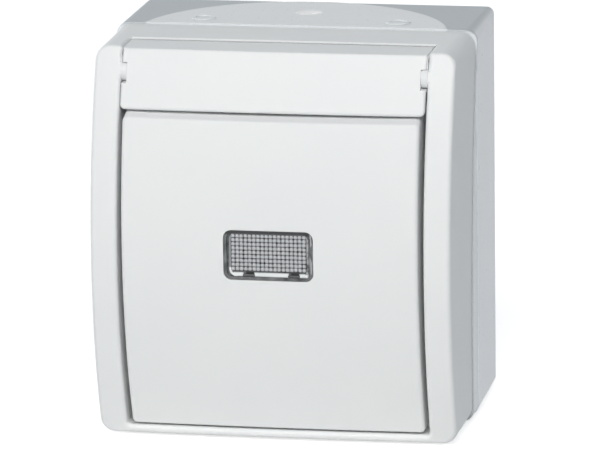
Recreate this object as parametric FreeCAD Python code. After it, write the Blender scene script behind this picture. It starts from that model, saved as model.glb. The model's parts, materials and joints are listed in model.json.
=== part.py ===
import FreeCAD, Part
import math
import os

from FreeCAD import Vector

# Surface mounted weatherproof rocker switch, all lengths in millimetres.
# The origin is the centre of the wall face. The wall is the plane y = 0, the
# switch stands out towards -y, +x is to the right and +z is up.

# Overall sizes
base_depth = 26.5           # wall to the rim step
cover_depth = 32.5          # rim step to the crown of the front
depth = base_depth + cover_depth
base_half_width = 37.5      # widest place, at the rim of the base
base_half_height = 40.5
base_side_taper = 0.6       # each side is this much narrower at the wall
base_end_taper = 0.2
base_corner = 2.5           # at the rim
base_rear_corner = 1.5      # at the wall
cover_side_step = 0.35      # the cover stands this much inside the base
cover_top_step = 0.3
cover_bottom_step = 0.4
cover_half_width = base_half_width - cover_side_step
cover_top = base_half_height - cover_top_step
cover_bottom = -(base_half_height - cover_bottom_step)
cover_side_taper = 0.3      # each side, from rim to front
cover_corner = 3.0

# The front is a shallow dome: an upright arc swung about an upright axis
front_radius = 100.0
front_crown_z = -2.2
front_plan_radius = 800.0
front_edge_round = 0.9

# Parting line between base and cover, bowed forward on both sides
parting_radius = 260.0
parting_bow = 6.2           # crown of the bow in front of the rim step
parting_crown_y = -(base_depth + parting_bow)
parting_crown_z = -22.0
parting_gap = 0.15
rim_inset = 0.15            # base wall in front of the rim step

# Walls
base_wall = 2.2
base_floor = 2.5
rim_ledge = 4.0             # the inner wall thickens this far behind the rim step
rim_ledge_y = -(base_depth - rim_ledge)
tongue_inset = 2.65         # sealing tongue that stands inside the cover
tongue_wall = 1.5
tongue_reach = 9.7
tongue_front_y = -(base_depth + tongue_reach)
neck_half_width = base_half_width - tongue_inset - tongue_wall
neck_half_height = base_half_height - tongue_inset - tongue_wall
gasket_height = 1.2
cover_wall = 2.0
shoulder_width = 2.2        # step inside the cover that presses on the gasket
deck_depth = 14.0           # crown of the front to the floor of the well
deck_front_y = -(depth - deck_depth)
deck_wall = 1.8

# Well in the front of the cover
cheek_width = 5.8
bottom_rail = 1.7
well_half_width = cover_half_width - cheek_width
well_bottom_z = cover_bottom + bottom_rail
well_corner = 1.0
well_round = 0.75           # along the edge of the well

# Flap strip over the rocker
flap_side_gap = 0.25
flap_half_width = well_half_width - flap_side_gap
flap_top_drop = 0.35
flap_top_z = cover_top - flap_top_drop
flap_height = 11.85
flap_bottom_z = flap_top_z - flap_height
flap_depth = 18.2           # crown of the front to the rear edge
flap_rear_y = -(depth - flap_depth)
flap_wall = 1.4
flap_proud = 0.35
flap_end_round = 1.0
flap_edge_round = 0.5
hinge_drop = 5.1
hinge_z = cover_top - hinge_drop
hinge_sink = 2.2            # behind the domed front at that height
hinge_front_y = front_radius - depth - math.sqrt(front_radius ** 2 - (hinge_z - front_crown_z) ** 2)
hinge_y = hinge_front_y + hinge_sink
hinge_pin_radius = 0.9
hinge_pin_clearance = 0.05
hinge_pin_reach = 2.0
hinge_pin_end_gap = 0.3
knuckle_radius = 1.75
knuckle_length = 1.2
knuckle_side_gap = 0.15
knuckle_notch_gap = 0.25
gusset_wall = 1.4
gusset_radius = 2.4
trough_gap = 0.35
trough_wall = 1.7
trough_bevel = 0.5

# Rocker, drawn level and then turned to its rest position
rocker_side_gap = 1.05
rocker_top_gap = 0.9
rocker_bottom_gap = 0.7
rocker_half_width = well_half_width - rocker_side_gap
rocker_top_z = flap_bottom_z - rocker_top_gap
rocker_bottom_z = well_bottom_z + rocker_bottom_gap
rocker_proud = 0.35
rocker_wall = 2.0
rocker_flank_wall = 1.6
rocker_depth = 11.5         # crown of the front to the rear edge of the flanks
rocker_flank_rear_y = -(depth - rocker_depth)
rocker_lip = 0.5            # height of the step behind the top flank
rocker_top_slope = 14.0     # degrees, the top flank rises towards the back
rocker_edge_round = 0.7
rocker_corner = 1.0
pivot_depth = 15.0
pivot_y = -(depth - pivot_depth)
pivot_z = 0.0
rocker_tilt = 2.1           # degrees each way from level

# Pilot window in the rocker
window_half_width = 9.2
window_half_height = 5.15
window_z = 0.4
window_corner = 1.7
lens_gap = 0.1
lens_recess = 0.7
lens_flange = 1.0
lens_depth = 3.0            # crown of the front to the rear face of the lens
lens_rear_y = -(depth - lens_depth)
light_box_wall = 1.0
light_box_gap = 0.4

# Carrier that joins the rocker to the switch mechanism
carrier_half_width = 15.0
carrier_half_height = 10.0
carrier_stand = 3.4         # pivot to the rear face of the carrier plate
carrier_rear_y = pivot_y - carrier_stand
carrier_plate = 2.0
carrier_front_y = carrier_rear_y - carrier_plate
carrier_fit = 0.1
carrier_frame_wall = 1.4
carrier_frame_lap = 1.2
carrier_block_half_width = 12.4
carrier_block_half_height = 6.0
carrier_block_reach = 2.5
carrier_block_rear_y = pivot_y + carrier_block_reach
web_half_gap = 10.3
web_wall = 1.4
light_slot_low = 5.6
light_slot_high = 9.4
light_slot_half_width = 7.5
trunnion_radius = 1.55
trunnion_clearance = 0.05
trunnion_root = 1.0         # length of a trunnion inside the carrier
tube_radius = 3.6
tube_reach = 7.8
tube_rear_y = pivot_y + tube_reach
tube_bore_depth = 7.4
tube_bore_y = tube_rear_y - tube_bore_depth
plunger_radius = 2.3
plunger_clearance = 0.1
plunger_tip_gap = 0.45
spring_radius = 1.6
spring_wire_radius = 0.3
spring_turns = 4.0
spring_length = 3.2

# Rubber collar on the well floor, round the carrier opening
opening_half_width = 17.6
opening_half_height = 13.2
opening_corner = 2.0
collar_wall = 1.5
collar_height = 1.0
seal_wall = 1.2
seal_lip = 1.1
seal_lip_wall = 0.8

# Switch insert
insert_half = 19.5
insert_corner = 2.0
insert_room_corner = 1.0
cable_room = 8.5            # floor of the base to the insert
insert_rear_y = -(base_floor + cable_room)
insert_stand = 10.5         # pivot to the front plate of the insert
insert_front_y = pivot_y + insert_stand
insert_wall = 1.8
insert_floor = 2.0
insert_floor_y = insert_rear_y - insert_floor
insert_flange = 1.5
insert_flange_wall = 1.5
insert_frame_wall = 2.0
ear_inner_x = 13.2
ear_wall = 2.6
ear_radius = 2.7
ear_root = 0.5
plate_stand = 18.0          # pivot to the mounting plate
plate_y = pivot_y + plate_stand
plate_wall = 1.2
plate_side_gap = 0.4
plate_end_gap = 6.35
plate_half_width = neck_half_width - plate_side_gap
plate_half_height = neck_half_height - plate_end_gap
plate_gap = 0.2
plate_corner = 4.0
insert_screw_head_radius = 2.5
insert_screw_edge = 0.1
insert_screw_x = plate_half_width - insert_screw_head_radius - insert_screw_edge
insert_screw_radius = 1.5
insert_screw_depth = 13.0
insert_post_radius = 3.4
blind_end = 1.0             # room past the end of a screw

# Contact set inside the insert
seesaw_stand = 16.0
seesaw_y = pivot_y + seesaw_stand
seesaw_half_length = 9.5
seesaw_half_width = 2.8
seesaw_wall = 0.6
seesaw_tilt = 4.0           # degrees each way from level
seesaw_pin_radius = 0.8
seesaw_pin_clearance = 0.05
seesaw_pin_seat = 0.1
seesaw_rear_y = seesaw_y - seesaw_pin_radius + seesaw_pin_seat
contact_z = 8.0
contact_radius = 1.5
contact_height = 1.0
contact_gap = 0.25
strip_wall = 0.8
strip_half_width = 2.4
bracket_ear_gap = 0.8
bracket_ear_half = 2.2
plunger_tip_y = seesaw_rear_y - seesaw_wall - plunger_tip_gap

# Terminals
terminal_x = 13.8
terminal_z = 14.0
terminal_half = 3.5
terminal_height = 9.0
terminal_roof = 2.0
terminal_screw_radius = 1.5
terminal_screw_stand = 7.5
terminal_screw_y = insert_rear_y - terminal_screw_stand
terminal_screw_end = 0.3
wire_hole_radius = 1.7
link_end = 1.0
earth_side = 5.35
earth_end = 11.35
earth_x = neck_half_width - earth_side
earth_z = neck_half_height - earth_end
earth_half = 3.0
earth_height = 8.0
earth_wall = 1.2
earth_screw_head = 1.4

# Pilot lamp
lamp_z = 9.0
lamp_radius = 1.7
lamp_reach = 2.4            # pivot to the tip of the lamp
lamp_front_y = pivot_y + lamp_reach
holder_radius = 2.6
holder_flange_radius = 3.3
holder_depth = 4.0
holder_flange_wall = 1.0

# Cover screws
cover_screw_side = 7.85
cover_screw_end = 7.35
cover_screw_x = neck_half_width - cover_screw_side
cover_screw_z = -(neck_half_height - cover_screw_end)
cover_screw_radius = 1.6
cover_screw_head_radius = 2.9
cover_screw_head = 1.8
cover_screw_sink = 0.5
cover_screw_seat_y = deck_front_y + cover_screw_head + cover_screw_sink
cover_post_radius = 3.3
cover_post_depth = 15.0
cover_post_front_y = deck_front_y + cover_post_depth
cover_tube_radius = 4.3
screw_clearance = 0.1
screw_slot_width = 0.9
screw_head_round = 0.3

# Hooks that hold the top of the cover
hook_side = 15.35
hook_x = neck_half_width - hook_side
hook_half_width = 3.6
hook_depth = 1.5
hook_start = 1.7            # behind the front of the tongue
hook_length = 6.5
hook_front_y = tongue_front_y + hook_start
hook_rear_y = hook_front_y + hook_length
hook_gap = 0.3

# Cable entries and wall slots
pad_side = 5.5
pad_radius = base_half_width - pad_side
pad_centre = 6.5            # centre of the pad's arc in front of the rim step
pad_centre_y = -(base_depth + pad_centre)
pad_height = 0.15
grommet_bore_radius = 4.0
grommet_flange = 1.5
grommet_nose = 5.5
entry_radius = 8.2
entry_floor_gap = 0.1
entry_y = -(base_floor + entry_radius + grommet_flange + entry_floor_gap)
entry_groove = 0.8
dimple_radius = 3.0
dimple_depth = 0.5
mark_side = 11.7
mark_x = pad_radius - mark_side
mark_back = 5.7             # behind the rim step
mark_y = -(base_depth - mark_back)
mark_radius = 2.5
mark_wall = 0.7
mark_height = 0.2
slot_side = 11.5            # cover screw to wall slot
slot_end = 8.35
slot_x = cover_screw_x - slot_side
slot_z = neck_half_height - slot_end
slot_radius = 2.3
slot_length = 8.0
slot_rim = 1.6
slot_rim_height = 1.0

over = 1.0                  # cutting tools run this far past a face
far = 80.0                  # reach of cutting blocks past the part


def block(x0, x1, y0, y1, z0, z1):
    return Part.makeBox(x1 - x0, y1 - y0, z1 - z0, Vector(x0, y0, z0))


def rod_x(radius, x0, x1, y, z):
    return Part.makeCylinder(radius, x1 - x0, Vector(x0, y, z), Vector(1, 0, 0))


def rod_y(radius, y0, y1, x, z):
    return Part.makeCylinder(radius, y1 - y0, Vector(x, y0, z), Vector(0, 1, 0))


def rod_z(radius, z0, z1, x, y):
    return Part.makeCylinder(radius, z1 - z0, Vector(x, y, z0), Vector(0, 0, 1))


def both_sides(shape):
    return [shape, shape.mirror(Vector(0, 0, 0), Vector(1, 0, 0))]


def outline(half_x, z0, z1, radius, y):
    """Rounded rectangle in the plane y."""
    k = radius * (1 - math.sqrt(0.5))
    edges = []
    corners = [(half_x, z0, -1, 1), (half_x, z1, -1, -1), (-half_x, z1, 1, -1), (-half_x, z0, 1, 1)]
    ends = []
    for x, z, sx, sz in corners:
        along_x = Vector(x + sx * radius, y, z)
        along_z = Vector(x, y, z + sz * radius)
        middle = Vector(x + sx * k, y, z + sz * k)
        first, last = (along_x, along_z) if x * sz > 0 else (along_z, along_x)
        ends.append((first, last))
        edges.append(Part.Arc(first, middle, last).toShape())
    for i in range(4):
        edges.append(Part.makeLine(ends[i][1], ends[(i + 1) % 4][0]))
    ordered = [edges[0], edges[4], edges[1], edges[5], edges[2], edges[6], edges[3], edges[7]]
    return Part.Wire(ordered)


def tapered_block(rear, front):
    """Loft between two rounded rectangles, each given as half_x, z0, z1, radius, y."""
    return Part.makeLoft([outline(*rear), outline(*front)], True, True)


def straight_block(half_x, z0, z1, radius, y0, y1):
    face = Part.Face(outline(half_x, z0, z1, radius, y0))
    return face.extrude(Vector(0, y1 - y0, 0))


def ring(outer, inner, y0, y1):
    """Rectangular ring, outer and inner given as half_x, z0, z1, radius."""
    return straight_block(*outer, y0, y1).cut(straight_block(*inner, y0, y1))


def front_dome(inset):
    """Solid behind the domed front, with the front moved back by inset."""
    radius = front_radius - inset
    centre_y = front_radius - depth
    reach = 0.6 * front_radius
    edge_y = centre_y - math.sqrt(radius ** 2 - reach ** 2)
    top = Vector(0, edge_y, front_crown_z + reach)
    crown = Vector(0, centre_y - radius, front_crown_z)
    bottom = Vector(0, edge_y, front_crown_z - reach)
    back_top = Vector(0, base_floor, top.z)
    back_bottom = Vector(0, base_floor, bottom.z)
    arc = Part.Arc(top, crown, bottom).toShape()
    lines = [Part.makeLine(bottom, back_bottom), Part.makeLine(back_bottom, back_top),
             Part.makeLine(back_top, top)]
    face = Part.Face(Part.Wire([arc] + lines))
    swing = math.degrees(math.asin(1.5 * base_half_width / front_plan_radius))
    axis_point = Vector(0, front_plan_radius - depth, 0)
    face.rotate(axis_point, Vector(0, 0, 1), -swing)
    return face.revolve(axis_point, Vector(0, 0, 1), 2 * swing)


def behind_parting(gap):
    """Everything on the wall side of the bowed parting line, grown by gap."""
    centre_y = parting_crown_y + parting_radius
    bow = rod_x(parting_radius + gap, -far, far, centre_y, parting_crown_z)
    flat = block(-far, far, -base_depth - gap, parting_radius, -far, far)
    return flat.fuse(bow)


def turn_rocker(shape):
    shape.rotate(Vector(0, pivot_y, pivot_z), Vector(1, 0, 0), rocker_tilt)
    return shape


def turn_seesaw(shape):
    shape.rotate(Vector(0, seesaw_y, 0), Vector(1, 0, 0), -seesaw_tilt)
    return shape


def edges_where(shape, test):
    """Edges whose middle point and box pass the test."""
    found = []
    for edge in shape.Edges:
        if test(edge.CenterOfMass, edge.BoundBox):
            found.append(edge)
    return found


def slotted_screw(x, z, under_head_y, shank_radius, shank, head_radius, head):
    """Screw along y with its head on the -y side."""
    front_y = under_head_y - head
    body = rod_y(head_radius, front_y, under_head_y, x, z)
    rim = edges_where(body, lambda c, b: abs(b.YMin - front_y) < 0.01 and b.YLength < 0.01)
    body = body.makeFillet(screw_head_round, rim)
    body = body.fuse(rod_y(shank_radius, under_head_y, under_head_y + shank, x, z))
    half = screw_slot_width / 2
    return body.cut(block(x - far, x + far, front_y - over, front_y + head / 2, z - half, z + half))


def base_shell():
    rear = (base_half_width - base_side_taper, -base_half_height + base_end_taper,
            base_half_height - base_end_taper, base_rear_corner, 0)
    front = (base_half_width, -base_half_height, base_half_height, base_corner, -base_depth)
    body = tapered_block(rear, front)
    rim_x = base_half_width - rim_inset
    rim_z = base_half_height - rim_inset
    rim = straight_block(rim_x, -rim_z, rim_z, base_corner, 2 * parting_crown_y, -base_depth)
    body = body.fuse(rim.common(behind_parting(0)))
    tongue_x = base_half_width - tongue_inset
    tongue_z = base_half_height - tongue_inset
    body = body.fuse(straight_block(tongue_x, -tongue_z, tongue_z, base_corner, tongue_front_y, rim_ledge_y))
    room_x = base_half_width - base_side_taper - base_wall
    room_z = base_half_height - base_end_taper - base_wall
    body = body.cut(straight_block(room_x, -room_z, room_z, base_corner, rim_ledge_y, -base_floor))
    return body.cut(straight_block(neck_half_width, -neck_half_height, neck_half_height, base_corner,
                                   -far, rim_ledge_y))


def entry_pad(side):
    """Raised round pad on the top (side 1) or bottom (side -1) of the base."""
    heights = sorted([side * (base_half_height - base_wall / 2), side * (base_half_height + pad_height)])
    disc = rod_z(pad_radius, heights[0], heights[1], 0, pad_centre_y)
    return disc.common(block(-far, far, -base_depth, -base_wall / 2, -far, far))


def base_marks():
    """Drill mark and two small rings on the top pad."""
    top = base_half_height + pad_height
    rings = []
    for side in (-1, 1):
        tube = rod_z(mark_radius, top - mark_height, top + mark_height, side * mark_x, mark_y)
        hole = rod_z(mark_radius - mark_wall, top - over, top + over, side * mark_x, mark_y)
        rings.append(tube.cut(hole))
    dimple_ball = (dimple_radius ** 2 + dimple_depth ** 2) / (2 * dimple_depth)
    dimple = Part.makeSphere(dimple_ball, Vector(0, entry_y, top - dimple_depth + dimple_ball))
    return rings, dimple


def wall_slot(x, z, radius, y0, y1):
    half = slot_length / 2 - slot_radius
    ends = [rod_y(radius, y0, y1, x + s * half, z) for s in (-1, 1)]
    return block(x - half, x + half, y0, y1, z - radius, z + radius).multiFuse(ends)


def base_cuts():
    """Screw holes, wall slots and the pockets for the cover's hooks."""
    screw_end = plate_y + insert_screw_depth + blind_end
    cuts = both_sides(rod_y(insert_screw_radius + screw_clearance, plate_y - over, screw_end,
                            insert_screw_x, 0))
    screw_end = cover_post_front_y + insert_screw_depth
    cuts += both_sides(rod_y(cover_screw_radius + screw_clearance, -far, screw_end,
                             cover_screw_x, cover_screw_z))
    for z in (-slot_z, slot_z):
        cuts += both_sides(wall_slot(slot_x, z, slot_radius, -base_floor - 2 * slot_rim_height, over))
    half = hook_half_width + hook_gap
    pocket_top = base_half_height - tongue_inset
    cuts += both_sides(block(hook_x - half, hook_x + half, tongue_front_y - over, hook_rear_y + hook_gap,
                             neck_half_height - over, pocket_top))
    return cuts


def entry_cuts():
    """Blind entry scored inside the top wall, and the open one with its seat in the bottom wall."""
    inner = base_half_height - base_end_taper - base_wall
    score = rod_z(entry_radius, inner, inner + entry_groove, 0, entry_y)
    score = score.cut(rod_z(entry_radius - entry_groove, inner - over, inner + far, 0, entry_y))
    hole = rod_z(entry_radius, -far, -base_half_height / 2, 0, entry_y)
    seat = rod_z(entry_radius + grommet_flange, -inner, over - neck_half_height, 0, entry_y)
    return [score, hole, seat]


def base_box():
    body = base_shell()
    rings, dimple = base_marks()
    body = body.multiFuse([entry_pad(1), entry_pad(-1)] + rings)
    body = body.cut(dimple)
    for cut in entry_cuts():
        body = body.cut(cut)
    foot = -base_floor / 2
    adds = both_sides(rod_y(insert_post_radius, plate_y, foot, insert_screw_x, 0))
    adds += both_sides(rod_y(cover_post_radius, cover_post_front_y, foot, cover_screw_x, cover_screw_z))
    adds += earth_cup()
    for z in (-slot_z, slot_z):
        adds += both_sides(wall_slot(slot_x, z, slot_radius + slot_rim, -base_floor - slot_rim_height, foot))
    body = body.multiFuse(adds)
    for cut in base_cuts():
        body = body.cut(cut)
    return body.removeSplitter()


def earth_cup():
    """Two ribs on the floor that grip the earth terminal."""
    walls = []
    for x in (earth_x - earth_half - earth_wall, earth_x + earth_half):
        walls.append(block(x, x + earth_wall, -base_floor - earth_height / 2, -base_floor / 2,
                           earth_z - earth_half, earth_z + earth_half))
    return walls


def cable_grommet():
    """Soft entry in the bottom wall, flush outside, with a nose inside."""
    wall_inner = -(base_half_height - base_end_taper - base_wall)
    outer = -base_half_height
    lip = entry_radius + grommet_flange
    points = [(grommet_bore_radius, outer), (entry_radius, outer), (entry_radius, wall_inner),
              (lip, wall_inner), (lip, wall_inner + grommet_flange),
              (entry_radius - grommet_flange, wall_inner + grommet_flange),
              (grommet_bore_radius + grommet_flange, wall_inner + grommet_nose),
              (grommet_bore_radius, wall_inner + grommet_nose)]
    corners = [Vector(r, entry_y, z) for r, z in points]
    face = Part.Face(Part.makePolygon(corners + corners[:1]))
    return face.revolve(Vector(0, entry_y, 0), Vector(0, 0, 1), 360)


def cover_gasket():
    outer_x = base_half_width - tongue_inset
    outer_z = base_half_height - tongue_inset
    return ring((outer_x, -outer_z, outer_z, base_corner),
                (neck_half_width, -neck_half_height, neck_half_height, base_corner),
                tongue_front_y - gasket_height, tongue_front_y)


def cover_outside():
    """Tapered block, drawn past the front and cut by the dome."""
    past = 1.5
    rear = (cover_half_width, cover_bottom, cover_top, cover_corner, -base_depth)
    front_y = -base_depth - past * cover_depth
    front = (cover_half_width - past * cover_side_taper, cover_bottom, cover_top, cover_corner, front_y)
    shell = tapered_block(rear, front).common(front_dome(0))
    rim = edges_where(shell, lambda c, b: b.YMax < deck_front_y + over and b.YMin > -depth - over)
    return shell.makeFillet(front_edge_round, rim)


def cover_inside():
    """Room behind the well floor, stepped where the gasket is pressed."""
    half_x = cover_half_width - cover_wall
    low = cover_bottom + cover_wall
    high = cover_top - cover_wall
    shoulder_y = tongue_front_y - gasket_height
    rear = straight_block(half_x, low, high, base_corner, shoulder_y, over)
    step = shoulder_width
    front = straight_block(half_x - step, low + step, high - step, base_corner,
                           deck_front_y + deck_wall, shoulder_y)
    trough = rod_x(flap_sweep() + trough_gap + trough_wall, -far, far, hinge_y, hinge_z)
    return rear.fuse(front.cut(trough))


def flap_sweep():
    """Radius that the rear edge of the flap sweeps about its hinge."""
    return math.hypot(flap_rear_y - hinge_y, flap_top_z - hinge_z)


def cover_adds():
    """Collar, screw tubes, hinge knuckles and hooks."""
    collar_x = opening_half_width + collar_wall
    collar_z = opening_half_height + collar_wall
    adds = [straight_block(collar_x, -collar_z, collar_z, opening_corner,
                           deck_front_y - collar_height, deck_front_y)]
    tube_rear = cover_post_front_y - screw_clearance
    adds += both_sides(rod_y(cover_tube_radius, deck_front_y, tube_rear, cover_screw_x, cover_screw_z))
    knuckle = rod_x(knuckle_radius, well_half_width - knuckle_length, well_half_width + over,
                    hinge_y, hinge_z)
    adds += both_sides(knuckle.common(front_dome(0)))
    adds += both_sides(block(hook_x - hook_half_width, hook_x + hook_half_width, hook_front_y, hook_rear_y,
                             cover_top - cover_wall - hook_depth, cover_top - cover_wall / 2))
    return adds


def cover_cuts():
    """Carrier opening, hinge bores and screw holes."""
    cuts = [straight_block(opening_half_width, -opening_half_height, opening_half_height, opening_corner,
                           -far, tongue_front_y)]
    bore_end = well_half_width + hinge_pin_reach + hinge_pin_end_gap
    cuts += both_sides(rod_x(hinge_pin_radius + hinge_pin_clearance, well_half_width - 2 * knuckle_length,
                             bore_end, hinge_y, hinge_z))
    cuts += both_sides(rod_y(cover_screw_head_radius + screw_clearance, -far, cover_screw_seat_y,
                             cover_screw_x, cover_screw_z))
    cuts += both_sides(rod_y(cover_screw_radius + screw_clearance, -far, over, cover_screw_x, cover_screw_z))
    return cuts


def well_mouth(centre, box):
    """True for the edges along the front of the well."""
    reach = well_half_width + well_corner / 2
    corner_line = box.YLength > well_corner and box.ZLength < well_corner and centre.z < 0
    inside = box.XMax < reach and box.XMin > -reach and centre.y < deck_front_y - deck_wall
    return inside and not corner_line


def trough_lip():
    """Wedge that bevels the cover's edge behind the flap."""
    edge_y = hinge_y + math.sqrt((flap_sweep() + trough_gap) ** 2 - (cover_top - hinge_z) ** 2)
    places = [(-over, -over), (trough_bevel - over, -over), (trough_bevel + over, over), (-over, over)]
    corners = [Vector(-well_half_width, edge_y + y, cover_top + z) for y, z in places]
    return Part.Face(Part.makePolygon(corners + corners[:1])).extrude(Vector(2 * well_half_width, 0, 0))


def cut_well(body):
    """Cuts the well and the trough behind the flap, with soft edges."""
    well = straight_block(well_half_width, well_bottom_z, 2 * cover_top, well_corner, -far, deck_front_y)
    trough = rod_x(flap_sweep() + trough_gap, -well_half_width, well_half_width, hinge_y, hinge_z)
    body = body.cut(well.fuse(trough).removeSplitter())
    body = body.makeFillet(well_round, edges_where(body, well_mouth))
    return body.cut(trough_lip())


def cover():
    body = cut_well(cover_outside())
    body = body.cut(behind_parting(parting_gap))
    body = body.cut(cover_inside())
    body = body.multiFuse(cover_adds())
    for cut in cover_cuts():
        body = body.cut(cut)
    return body.removeSplitter()


def cover_screws():
    shank = cover_post_front_y + insert_screw_depth - blind_end - cover_screw_seat_y
    return both_sides(slotted_screw(cover_screw_x, cover_screw_z, cover_screw_seat_y,
                                    cover_screw_radius, shank, cover_screw_head_radius, cover_screw_head))


def flap_skin():
    """Curved front and top flank of the flap, open at the back."""
    skin = block(-flap_half_width, flap_half_width, -far, flap_rear_y, flap_bottom_z, flap_top_z)
    upright = edges_where(skin, lambda c, b: b.YLength > over and c.z < flap_bottom_z + over)
    skin = skin.makeFillet(flap_end_round, upright).common(front_dome(-flap_proud))
    brim = edges_where(skin, lambda c, b: b.YMax < deck_front_y)
    brim += edges_where(skin, lambda c, b: b.YMin > flap_rear_y - 0.01 and b.ZMin > flap_top_z - 0.01)
    skin = skin.makeFillet(flap_edge_round, brim)
    hollow = block(-far, far, -far, 0, 0, flap_top_z - flap_wall)
    return skin.cut(hollow.common(front_dome(flap_wall - flap_proud)))


def label_flap():
    inner = well_half_width - knuckle_length - knuckle_side_gap
    x0 = inner - gusset_wall
    web = rod_x(gusset_radius, x0, inner, hinge_y, hinge_z)
    up = block(x0, inner, hinge_y - gusset_radius, hinge_y + gusset_radius,
               hinge_z, flap_top_z - flap_wall / 2)
    out = block(x0, inner, -far, hinge_y, hinge_z - gusset_radius, hinge_z + gusset_radius)
    gusset = web.multiFuse([up, out]).common(front_dome(flap_wall / 2 - flap_proud))
    body = flap_skin().multiFuse(both_sides(gusset))
    half = knuckle_radius + knuckle_notch_gap
    for notch in both_sides(block(inner, far, -far, hinge_y + half, hinge_z - half, hinge_z + half)):
        body = body.cut(notch)
    pin_end = well_half_width + hinge_pin_reach
    pin = rod_x(hinge_pin_radius, inner - gusset_wall / 2, pin_end, hinge_y, hinge_z)
    return body.multiFuse(both_sides(pin)).removeSplitter()


def rocker_outside(inset):
    """Outer form of the rocker, moved in on every side by inset."""
    half = rocker_half_width - inset
    slope = math.tan(math.radians(rocker_top_slope))
    rear = rocker_flank_rear_y
    edge_y = -depth + (rocker_top_z - front_crown_z) ** 2 / (2 * front_radius)
    far_z = rocker_top_z - (far + edge_y) * slope - inset
    rear_z = rocker_top_z + (rear - edge_y) * slope - inset
    side = [Vector(-half, -far, rocker_bottom_z + inset), Vector(-half, -far, far_z),
            Vector(-half, rear, rear_z), Vector(-half, rear, rocker_bottom_z + inset)]
    solid = Part.Face(Part.makePolygon(side + side[:1])).extrude(Vector(2 * half, 0, 0))
    return solid


def rocker_hollow():
    """Space inside the rocker, and the relief for the flanks' rear edges."""
    inside = rocker_outside(rocker_flank_wall).common(front_dome(rocker_wall - rocker_proud))
    half = rocker_half_width - rocker_flank_wall
    rear = block(-half, half, rocker_flank_rear_y - rocker_lip, 0,
                 rocker_bottom_z + rocker_flank_wall, rocker_top_z)
    return inside.fuse(rear)


def rocker_plate():
    body = rocker_outside(0)
    uprights = edges_where(body, lambda c, b: b.YLength > rocker_depth and b.XLength < 0.1)
    body = body.makeFillet(rocker_corner, uprights).common(front_dome(-rocker_proud))
    brim = edges_where(body, lambda c, b: b.YMax < rocker_flank_rear_y - over)
    body = body.makeFillet(rocker_edge_round, brim)
    body = body.cut(rocker_hollow())
    frame_x = carrier_half_width + carrier_fit
    frame_z = carrier_half_height + carrier_fit
    wall = carrier_frame_wall
    frame = block(-frame_x - wall, frame_x + wall, -far, carrier_front_y + carrier_frame_lap,
                  -frame_z - wall, frame_z + wall)
    frame = frame.cut(block(-frame_x, frame_x, -far, 0, -frame_z, frame_z))
    webs = both_sides(block(web_half_gap, web_half_gap + web_wall, -far, carrier_front_y, -frame_z, frame_z))
    inside = front_dome(rocker_wall / 2 - rocker_proud)
    body = body.multiFuse([s.common(inside) for s in [frame] + webs])
    window = straight_block(window_half_width, window_z - window_half_height, window_z + window_half_height,
                            window_corner, -far, lens_rear_y)
    return turn_rocker(body.cut(window).removeSplitter())


def window_lens():
    half_x = window_half_width - lens_gap
    half_z = window_half_height - lens_gap
    pane = straight_block(half_x, window_z - half_z, window_z + half_z, window_corner - lens_gap,
                          -far, lens_rear_y)
    pane = pane.common(front_dome(lens_recess - rocker_proud))
    flange = block(-half_x - lens_flange, half_x + lens_flange, -far, lens_rear_y,
                   window_z - half_z - lens_flange, window_z + half_z + lens_flange)
    flange = flange.common(front_dome(rocker_wall - rocker_proud))
    return turn_rocker(pane.fuse(flange).removeSplitter())


def light_box():
    """Grey shaft that leads the lamp's light to the window."""
    half_x = window_half_width + light_box_gap
    half_z = window_half_height + light_box_gap
    wall = light_box_wall
    outer = (half_x, window_z - half_z, window_z + half_z, window_corner)
    inner = (half_x - wall, window_z - half_z + wall, window_z + half_z - wall, window_corner - wall)
    return turn_rocker(ring(outer, inner, lens_rear_y, carrier_front_y))


def rocker_carrier():
    plate = block(-carrier_half_width, carrier_half_width, carrier_front_y, carrier_rear_y,
                  -carrier_half_height, carrier_half_height)
    core = block(-carrier_block_half_width, carrier_block_half_width, carrier_rear_y, carrier_block_rear_y,
                 -carrier_block_half_height, carrier_block_half_height)
    tube = rod_y(tube_radius, carrier_block_rear_y, tube_rear_y, 0, 0)
    pins = both_sides(rod_x(trunnion_radius, carrier_block_half_width - trunnion_root, ear_inner_x + ear_wall,
                            pivot_y, pivot_z))
    body = plate.multiFuse([core, tube] + pins)
    bore = rod_y(plunger_radius + plunger_clearance, tube_bore_y, 0, 0, 0)
    slot = block(-light_slot_half_width, light_slot_half_width, -far, 0, light_slot_low, light_slot_high)
    return turn_rocker(body.cut(bore).cut(slot).removeSplitter())


def toggle_plunger():
    """Round-ended pin that the spring pushes against the see-saw."""
    ball_y = plunger_tip_y - plunger_radius
    stem = rod_y(plunger_radius, tube_bore_y + spring_length, ball_y, 0, 0)
    tip = Part.makeSphere(plunger_radius, Vector(0, ball_y, 0))
    return turn_rocker(stem.fuse(tip).removeSplitter())


def toggle_spring():
    length = spring_length - 2 * spring_wire_radius
    helix = Part.makeHelix(length / spring_turns, length, spring_radius)
    centre = Vector(spring_radius, 0, 0)
    circle = Part.Wire(Part.makeCircle(spring_wire_radius, centre, Vector(0, 1, 0)))
    coil = Part.Wire(helix).makePipeShell([circle], True, True)
    coil.rotate(Vector(0, 0, 0), Vector(1, 0, 0), -90)
    coil.translate(Vector(0, tube_bore_y + spring_wire_radius, 0))
    return turn_rocker(coil)


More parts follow.
